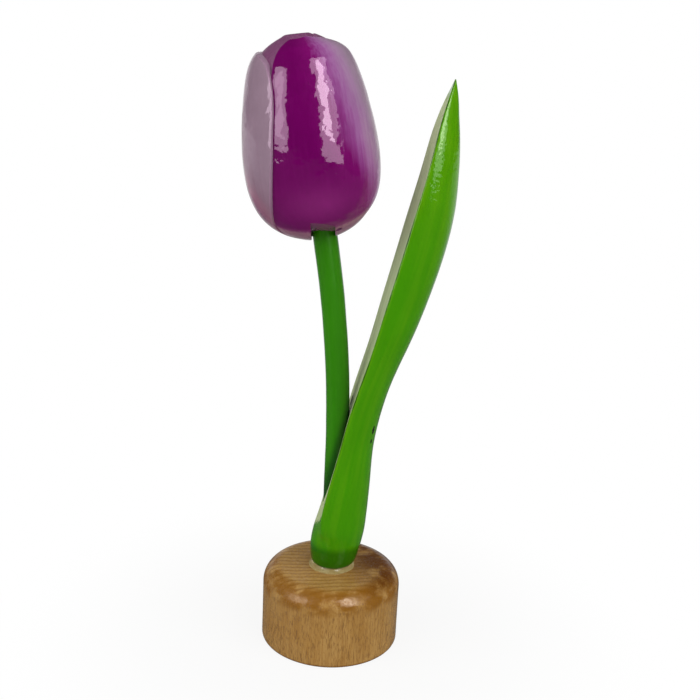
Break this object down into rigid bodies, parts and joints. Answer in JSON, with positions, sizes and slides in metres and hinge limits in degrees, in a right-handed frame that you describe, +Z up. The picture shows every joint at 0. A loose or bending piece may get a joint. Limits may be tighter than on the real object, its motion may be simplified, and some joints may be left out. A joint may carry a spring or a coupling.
{
  "type": "wooden tulip ornament",
  "caption": "Carved and painted wooden tulip: a petalled head on a bent dowel stem, with a tall carved leaf, glued upright on a round turned block.",
  "frame": {"origin": "middle of the block's flat underside, under the dowel's axis", "axes": "+Z up along the straight part of the stem; +X to the side that the leaf leans to, with the flower head leaning to -X; -Y is the front"},
  "size_m": [0.0682, 0.0474, 0.2032],
  "materials": {
    "varnished_beech": "clear gloss varnish on turned beech, end grain on top",
    "stem_paint": "gloss green paint on a hardwood dowel",
    "leaf_paint": "gloss green paint on carved wood, with a pale grey-green inner face",
    "petal_paint": "brushed purple and lilac paint on carved wood under clear gloss lacquer",
    "clear_glue": "clear hardened glue"
  },
  "bodies": {
    "root": {"base_block": "varnished_beech", "stem": "stem_paint", "leaf": "leaf_paint", "flower_head": "petal_paint", "glue_bead": "clear_glue"}
  },
  "joints": []
}
